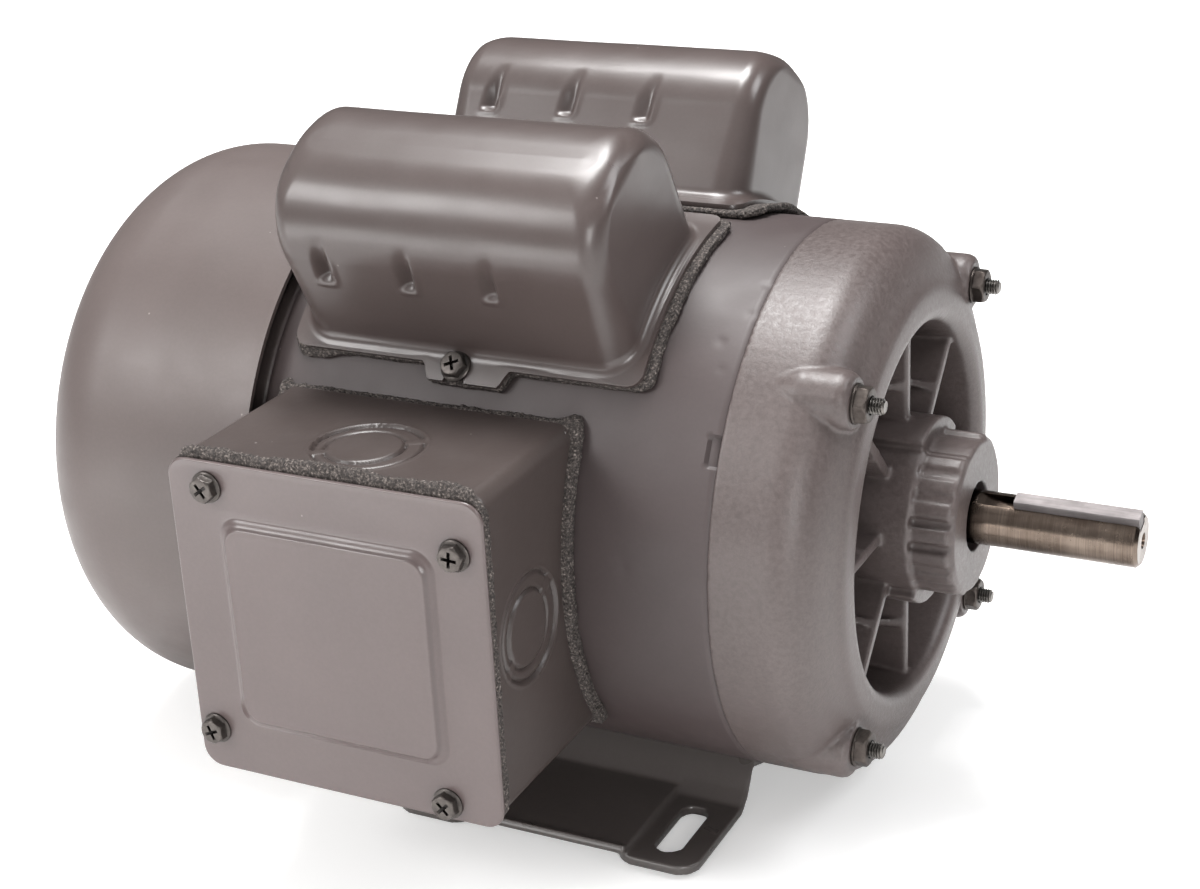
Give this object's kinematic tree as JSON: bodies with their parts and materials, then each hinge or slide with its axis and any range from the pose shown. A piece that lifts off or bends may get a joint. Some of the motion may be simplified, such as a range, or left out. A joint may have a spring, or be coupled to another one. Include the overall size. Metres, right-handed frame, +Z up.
{
  "type": "electric motor",
  "caption": "Foot-mounted, fan-cooled electric motor with a keyed shaft, ribbed drive-end shield, smooth fan cover, side conduit box and twin capacitor covers.",
  "frame": {"origin": "centre of the four foot slots, on the mounting plane under the feet", "axes": "+X along the shaft towards the drive end, +Z up, conduit box on the -Y side"},
  "size_m": [0.3276, 0.2255, 0.2109],
  "materials": {
    "taupe_paint": "satin taupe enamel",
    "cover_paint": "semi-gloss taupe enamel",
    "cast_paint": "satin taupe enamel over castings",
    "dark_base_paint": "dark satin enamel",
    "gasket_foam": "granular black foam",
    "black_rubber": "matt",
    "machined_steel": "machined, oiled",
    "bright_steel": "bright",
    "bearing_steel": "ground and polished",
    "zinc_steel": "zinc plated",
    "electrical_steel": "laminated, varnished",
    "cast_aluminium": "as cast",
    "copper_wire": "enamelled copper",
    "brass": "plain",
    "lacing_cord": "varnished cord",
    "phenolic": "moulded phenolic",
    "black_plastic": "moulded",
    "capacitor_case": "moulded phenolic case",
    "capacitor_can": "drawn can",
    "wire_insulation": "insulated wire"
  },
  "bodies": {
    "frame": {"base_plate": "dark_base_paint", "capacitor_cover_front": "cover_paint", "capacitor_cover_rear": "cover_paint", "capacitor_cover_screws": "zinc_steel", "capacitor_gasket_front": "gasket_foam", "capacitor_gasket_rear": "gasket_foam", "conduit_box": "taupe_paint", "conduit_box_gasket": "gasket_foam", "conduit_box_screws": "zinc_steel", "conduit_cover": "cover_paint", "conduit_cover_gasket": "gasket_foam", "conduit_cover_screws": "zinc_steel", "drive_bearing_outer_race": "bearing_steel", "drive_end_shield": "cast_paint", "fan_cover": "taupe_paint", "fan_cover_screws": "zinc_steel", "ground_screw": "brass", "lead_grommet": "black_rubber", "lead_wires": "wire_insulation", "rear_bearing_outer_race": "bearing_steel", "rear_end_shield": "cast_paint", "run_capacitor": "capacitor_can", "run_capacitor_terminals": "brass", "shaft_seal": "black_rubber", "shell": "taupe_paint", "start_capacitor": "capacitor_case", "start_capacitor_terminals": "brass", "stator_core": "electrical_steel", "stator_winding": "copper_wire", "switch_board": "phenolic", "switch_fixed_contact": "brass", "switch_pivot_pin": "bright_steel", "terminal_board": "phenolic", "terminal_studs": "brass", "through_bolt_nuts": "zinc_steel", "through_bolts": "zinc_steel", "wave_spring": "bright_steel", "winding_lacing": "lacing_cord"},
    "rotor": {"shaft": "machined_steel", "shaft_key": "bright_steel", "bearing_retaining_ring": "bright_steel", "rotor_core": "electrical_steel", "rotor_cage": "cast_aluminium", "cooling_fan": "black_plastic", "fan_retaining_ring": "bright_steel", "governor_plate": "zinc_steel", "governor_pins": "bright_steel", "drive_bearing_inner_race": "bearing_steel", "rear_bearing_inner_race": "bearing_steel"},
    "drive_ball_set": {"drive_bearing_balls": "bearing_steel", "drive_bearing_cage": "brass"},
    "rear_ball_set": {"rear_bearing_balls": "bearing_steel", "rear_bearing_cage": "brass"},
    "collar": {"governor_collar": "phenolic"},
    "weight_upper": {"governor_weight_upper": "zinc_steel"},
    "weight_lower": {"governor_weight_lower": "zinc_steel"},
    "contact_arm": {"switch_arm": "brass"}
  },
  "joints": [
    {"name": "rotor_spin", "type": "hinge", "parent": "frame", "child": "rotor", "pos_m": [0, 0, 0.0889], "axis": [1, 0, 0], "continuous": true},
    {"name": "drive_balls_orbit", "type": "hinge", "parent": "frame", "child": "drive_ball_set", "pos_m": [0.083, 0, 0.0889], "axis": [1, 0, 0], "continuous": true},
    {"name": "rear_balls_orbit", "type": "hinge", "parent": "frame", "child": "rear_ball_set", "pos_m": [-0.088, 0, 0.0889], "axis": [1, 0, 0], "continuous": true},
    {"name": "governor_slide", "type": "slide", "parent": "rotor", "child": "collar", "axis": [1, 0, 0], "range_m": [0, 0.004]},
    {"name": "upper_weight_swing", "type": "hinge", "parent": "rotor", "child": "weight_upper", "pos_m": [-0.072, 0, 0.1119], "axis": [0, -1, 0], "range_deg": [0, 25]},
    {"name": "lower_weight_swing", "type": "hinge", "parent": "rotor", "child": "weight_lower", "pos_m": [-0.072, 0, 0.0659], "axis": [0, 1, 0], "range_deg": [0, 25]},
    {"name": "contact_arm_swing", "type": "hinge", "parent": "frame", "child": "contact_arm", "pos_m": [-0.0792, 0.034, 0.0889], "axis": [0, 0, 1], "range_deg": [0, 10]}
  ],
  "couplings": [
    {"joint": "drive_balls_orbit", "follows": "rotor_spin", "ratio": 0.3818},
    {"joint": "rear_balls_orbit", "follows": "rotor_spin", "ratio": 0.3818},
    {"joint": "upper_weight_swing", "follows": "governor_slide", "rad_per_m": 105},
    {"joint": "lower_weight_swing", "follows": "governor_slide", "rad_per_m": 105},
    {"joint": "contact_arm_swing", "follows": "governor_slide", "rad_per_m": 40}
  ]
}
